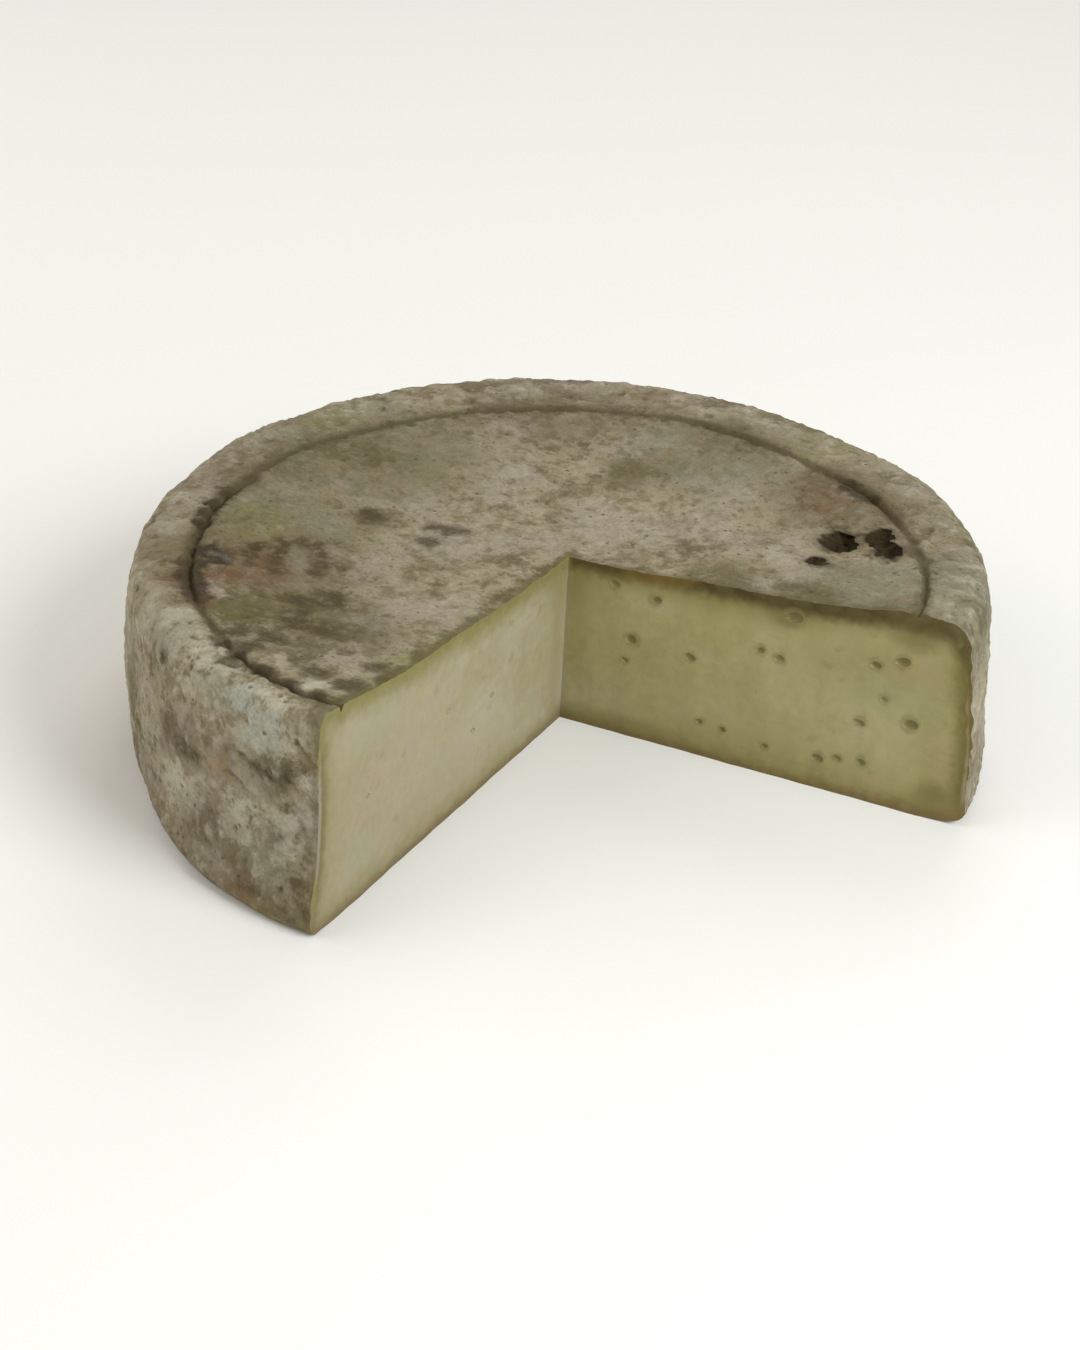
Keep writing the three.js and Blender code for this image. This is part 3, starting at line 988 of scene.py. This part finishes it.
def paintRind():
    paint = Paint("mottled rind", rindLook)
    noises = paint.noises
    gap = paint.attribute("grooveGap")
    z = paint.along("Z")
    outer = paint.fade("outer", gap)
    leftCut = paint.fade("leftCut", paint.along("X"))

    ground = paint.fade("ground", paint.mix("ground"))
    colour = paint.blend(ground, paint.tones["brown"], paint.tones["taupe"])
    colour = paint.coat(colour, "lilac", noises["lilac"])
    colour = paint.coat(colour, "olive", noises["olive"])
    frayed = paint.frayedPlace("patches")
    colour = paint.layPatches(colour, rindPatches, frayed, paint.swing("patches"))
    colour = paint.coat(colour, "lowDown", z + paint.swing("lowDown"), "umber")
    colour = paint.coat(colour, "blotches", noises["blotches"], "bloom", outer)
    frayed = paint.frayedPlace("marks")
    colour = paint.layPatches(colour, rindMarks, frayed, paint.swing("marks"))

    level = rindLook["fromRelief"] * paint.attribute("relief") + paint.swing("raised")
    raised = paint.fade("raised", level) * paint.strength("raised", outer)
    colour = paint.layer(colour, "bloom", raised)
    sunken = paint.fade("sunken", level) * paint.strength("sunken", outer)
    colour = paint.layer(colour, "stain", sunken)
    fromCut = paint.attribute("cutDepth") + paint.swing("cutEdge")
    fromCut = fromCut + leftCut * (paint.swing("leftCut") - rindLook["leftCutReach"])
    strength = paint.strength("cutEdge", leftCut) - rindLook["cutEdgeLoss"] * outer
    colour = paint.layer(colour, "olive", paint.fade("cutEdge", fromCut) * strength)
    poreZones = paint.fade("poreZones", noises["middle"])
    colour = paint.coat(colour, "pores", paint.cells("pores") + paint.swing("pores"), "stain", poreZones)
    aboveFoot = paint.fade("aboveFoot", z)
    # darker along the groove: soil in it and painted shade of the groove
    colour = paint.coat(colour, "soiled", abs(gap) + paint.swing("soiled"), "stain", aboveFoot)
    # on the rind the depth is more than 0 only inside the mould pits, which this darkens as dark mould and
    # painted shade in the hollows
    colour = paint.coat(colour, "pit", paint.attribute("rindDepth"))
    colour = paint.tint(colour, "specks", paint.mix("specks"))
    return paint.finish({
        "Base Color": colour,
        "Roughness": rindLook["roughness"],
        "Normal": paint.bump(paint.mix("height")),
    })


# Paste

pasteLook = {
    "tones": {  # screen values
        "heart": (159, 151, 114),
        "middle": (151, 142, 99),
        "tan": (140, 126, 82),
        "underRind": (128, 120, 70),
        "rindTop": (66, 54, 10),
        "rindWarm": (100, 78, 24),
        "rindLeft": (112, 105, 32),
        "rindSide": (94, 84, 32),
        "rindBelow": (106, 86, 52),
        "bloom": (146, 138, 112),
        "eye": (124, 115, 70),
        "halo": (120, 112, 68),
        "blush": (162, 146, 116),
        "green": (140, 146, 104),
        "smudge": (128, 121, 76),
    },
    "noises": {  # size, detail, roughness, shift, stretch
        "wide": (30 * mm, 3, 0.5, (0.6, 0.3, 0.8)),
        "middle": (7 * mm, 4, 0.6, (0.9, 0.2, 0.5)),
        "fine": (2.4 * mm, 4, 0.65, (0.1, 0.7, 0.3)),
        "hue": (9 * mm, 3, 0.5, (3.1, 1.7, 0.4)),
        "streaks": (1.5 * mm, 4, 0.6, (0, 0, 0), (1, 1, 0.25)),
    },
    "fades": {  # where a thing starts to show, where it is full
        "ground": (0.38, 0.62),
        "nearTop": (9, 4),  # millimetres under the top
        "nearFoot": (9 * mm, 4 * mm),
        "rightSide": (1.3 * mm, 2.3 * mm),
        "toRight": (10 * mm, 80 * mm),
        "farRight": (74 * mm, 95 * mm),
        "underRind": (8, 1.8),
        "warm": (0.48, 0.6),
        "fuller": (0.4, 0.6),
        "paleEdge": (1.5, 0.6),
        "smudge": (0.2, 0.06),
        "halo": (1.2, -0.1),
        "eye": (0.2, 0.8),
        "mottle": (0.3, 0.7),
        "hue": (0.38, 0.62),
    },
    "strengths": {"underRind": 0.8, "paleEdge": 0.7, "smudge": 0.4, "halo": 0.55, "eye": 0.9},
    "mixes": {
        "ground": {"wide": 0.6, "middle": 0.4},
        "height": {"fine": 0.6, "streaks": 0.4},
    },
    "swings": {
        "patches": {"middle": 0.8, "fine": 0.5},
        "ragged": {"middle": 4, "fine": 1.4},
        "paleEdge": {"fine": 1.4},
        "smudge": {"fine": 0.5},
        "halo": {"fine": 1.8},
        "roughness": {"middle": 0.25},
    },
    "rindLine": {  # the dark line of the rind round the cut faces, lengths in millimetres
        "thickness": 1.5, "thinnerAtFoot": 0.4, "thinnerAtTop": 0.1,
        "wider": {"rightSide": 0.5, "toRight": 1.2, "farRight": 0.7},  # along the top
        # how far past its thickness it starts to show, and where it is full
        "start": 2.8, "startFarRight": 1.5, "full": -1.3,
        "strength": 0.74, "fainterAtTop": 0.22, "strongerRight": 0.32, "fainterFarRight": 0.14,
        "uneven": 0.14, "roughness": 0.3, "height": 0.8,
    },
    "cells": {"smudge": (8 * mm, (0.1, 0.2, 0.3))},
    "tints": {
        "mottle": ((0.94, 0.94, 0.93, 1), (1.05, 1.05, 1.06, 1)),
        "hue": ((0.98, 0.99, 0.97, 1), (1.0, 0.985, 1.02, 1)),
        "rightSide": ((1.0, 1.0, 1.24, 1), (1.0, 1.0, 0.89, 1)),  # from the left face to the right one: painted light, a bluer painted sheen on the left face and yellower painted shade in the notch on the right one
    },
    "bump": (0.4, 0.3 * mm),
    "roughness": 0.48,
    "specular": 0.4,
    "subsurface": (0.1, 4 * mm),
}

pastePatches = [  # as on the rind
    ("tan", 0.5, 1.0, [
        # the tan stripe down the notch's corner, at (3, -3), is painted shade of the corner
        (98, 2, 25, 12, 30), (4, -68, 0, 60, 26), (60, 2, 2, 60, 12), (3, -3, 30, 4, 60),
        (-3, -100, 20, 11, 40), (80, 2, 36, 22, 10), (-2, -88, 24, 34, 24)]),
    ("underRind", 0.6, 1.0, [(97, 2, 6, 8, 8), (40, 2, 48, 50, 10), (1, 0, 44, 12, 17)]),
    ("blush", 0.28, 1.0, [
        (-2, -75, 26, 20, 13), (-2, -60, 34, 14, 8), (100, 2, 18, 7, 14), (82, 2, 4, 14, 5)]),
    ("green", 0.35, 1.0, [(-2, -88, 12, 11, 8), (-2, -84, 42, 12, 7), (84, 2, 30, 16, 8)]),
    ("rindSide", 0.6, 1.0, [
        (99, 2, 4, 9, 8), (93, 2, 1, 8, 4), (88, 2, 47, 9, 5), (57, 2, 45, 7, 5), (18, 2, 0, 24, 6)]),
]


def paintPaste():
    paint = Paint("cut paste", pasteLook)
    noises, tones = paint.noises, paint.tones
    line = pasteLook["rindLine"]
    depth = paint.attribute("rindDepth")
    ragged = depth + paint.swing("ragged")
    nearTop = paint.fade("nearTop", paint.attribute("underTop"))
    nearFoot = paint.fade("nearFoot", paint.along("Z"))
    x = paint.along("X")
    rightwards = {name: paint.fade(name, x) for name in line["wider"]}
    rightSide, farRight = rightwards["rightSide"], rightwards["farRight"]

    ground = paint.fade("ground", paint.mix("ground"))
    colour = paint.blend(ground, tones["middle"], tones["heart"])
    colour = paint.layPatches(colour, pastePatches, paint.place, paint.swing("patches"))
    colour = paint.coat(colour, "underRind", ragged)

    rindTone = paint.blend(paint.fade("warm", noises["wide"]), tones["rindTop"], tones["rindWarm"])
    rindTone = paint.blend(rightSide, tones["rindLeft"], rindTone)
    rindTone = paint.blend(nearTop, tones["rindSide"], rindTone)
    rindTone = paint.blend(nearFoot, rindTone, tones["rindBelow"])
    wider = sum(width * rightwards[name] for name, width in line["wider"].items())
    thickness = line["thickness"] - line["thinnerAtFoot"] * nearFoot
    thickness = thickness + nearTop * (wider - line["thinnerAtTop"])
    start = line["start"] + line["startFarRight"] * farRight
    rind = paint.between(ragged - thickness, start, line["full"])
    atTop = line["strongerRight"] * rightSide - line["fainterFarRight"] * farRight - line["fainterAtTop"]
    strength = line["strength"] + nearTop * atTop + line["uneven"] * paint.fade("fuller", noises["middle"])
    colour = paint.blend(rind * strength, colour, rindTone)
    upright = (1 - nearTop) * (1 - nearFoot)
    colour = paint.coat(colour, "paleEdge", depth + paint.swing("paleEdge"), "bloom", upright)

    colour = paint.coat(colour, "smudge", paint.cells("smudge") + paint.swing("smudge"))
    colour = paint.coat(colour, "halo", paint.attribute("eyeGap") + paint.swing("halo"))
    # darker inside the eyes: partly the paste's own tone there, partly painted shade in the hollows
    colour = paint.coat(colour, "eye", paint.attribute("cutDepth"))
    colour = paint.tint(colour, "mottle", noises["fine"])
    colour = paint.tint(colour, "hue", noises["hue"])
    # painted light: one paste, bluer on the left face as a painted sheen, yellower on the right face as
    # painted shade in the notch
    colour = paint.tint(colour, "rightSide", x)

    weight, reach = pasteLook["subsurface"]
    return paint.finish({
        "Base Color": colour,
        "Roughness": pasteLook["roughness"] + paint.swing("roughness") + line["roughness"] * rind,
        "Normal": paint.bump(paint.mix("height") + line["height"] * rind),
        "Subsurface Weight": weight,
        "Subsurface Scale": reach,
    })


# The whole cheese

def modelCheese():
    rind = paintRind()
    paste = paintPaste()
    cheese = modelBlank()
    cheese.data.materials.append(rind)
    print("blank wheel:", len(cheese.data.polygons), "faces")
    plain = readPoints(cheese)
    smoothSurface = surfaceOf(cheese, shapeWheel(plain, withGroove=False))
    writePoints(cheese, shapeWheel(plain))
    roughenRind(cheese)
    roughSurface = surfaceOf(cheese)
    makeTriangles(cheese)
    print("rind roughened")
    takeAway(cheese, modelSectorTool(paste))
    takeAway(cheese, modelEyeTool(paste))
    takeAway(cheese, modelPitTool(rind, roughSurface))
    dropSlivers(cheese)
    print("sector, eyes and pits cut:", len(cheese.data.polygons), "faces")
    points = readPoints(cheese)
    measureRind(cheese, points, smoothSurface, roughSurface)
    measureGroove(cheese, points)
    measureCut(cheese, points)
    cheese.location = wheel["planShift"]
    settlePlace(cheese)
    bpy.ops.object.shade_smooth_by_angle(angle=math.radians(wheel["softestEdge"]))
    print("cheese measured:", sum(len(face.vertices) - 2 for face in cheese.data.polygons), "triangles")
    return cheese


cheese = modelCheese()
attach(cheese, "root")
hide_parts("cheese_wheel")


# Floor, light and camera

stage = {
    "floorSize": 6,
    "floorLook": {"tones": {"pale": (232, 231, 228)}, "roughness": 0.9, "specular": 0.1},
    "worldTone": (0.96, 0.94, 0.88, 1),
    "worldStrength": 0.5,
    # lights: name, place, size, watts, tone
    "lights": [
        ("key", (0.85, -0.2, 0.7), 0.6, 10, (0.94, 0.98, 1.0)),
        ("fill", (-0.8, -0.7, 0.7), 1.0, 3.9, (1.0, 0.97, 0.9)),
        ("left", (-1.0, 0.0, 0.3), 0.8, 2.4, (1.0, 0.98, 0.93)),
        ("back", (-0.2, 0.9, 0.9), 0.8, 3.5, (1.0, 1.0, 0.98)),
    ],
}


def makeFloor():
    deselectAll()
    bpy.ops.mesh.primitive_plane_add(size=stage["floorSize"])
    floor = bpy.context.object
    floor.name = "floor"
    paint = Paint("pale floor", stage["floorLook"])
    floor.data.materials.append(paint.finish({
        "Base Color": paint.tones["pale"], "Roughness": stage["floorLook"]["roughness"]}))
    return floor


def makeLights():
    for name, place, size, watts, colour in stage["lights"]:
        light = bpy.data.lights.new(name, "AREA")
        light.shape = "DISK"
        light.size = size
        light.energy = watts
        light.color = colour
        holder = bpy.data.objects.new(name, light)
        holder.location = place
        holder.rotation_euler = (-Vector(place)).to_track_quat("-Z", "Y").to_euler()
        bpy.context.collection.objects.link(holder)
    world = bpy.data.worlds.new("studio")
    world.use_nodes = True
    background = world.node_tree.nodes["Background"]
    background.inputs["Color"].default_value = stage["worldTone"]
    background.inputs["Strength"].default_value = stage["worldStrength"]
    bpy.context.scene.world = world


camera = {
    "place": (0.1977, -0.4366, 0.2978),
    "yaw": 24.82,
    "tilt": 59.22,
    "roll": 3.0,
    "lens": 59.73,
    "sensor": 36,
}


def makeCamera():
    lens = bpy.data.cameras.new("camera")
    lens.lens = camera["lens"]
    lens.sensor_width = camera["sensor"]
    holder = bpy.data.objects.new("camera", lens)
    turn = Matrix.Rotation(math.radians(camera["yaw"]), 4, "Z")
    tilt = Matrix.Rotation(math.radians(camera["tilt"]), 4, "X")
    roll = Matrix.Rotation(math.radians(camera["roll"]), 4, "Z")
    holder.matrix_world = Matrix.Translation(camera["place"]) @ turn @ tilt @ roll
    bpy.context.collection.objects.link(holder)
    bpy.context.scene.camera = holder


makeFloor()
makeLights()
makeCamera()
bpy.context.scene.view_settings.view_transform = "Standard"
print("stage, lights and camera placed")
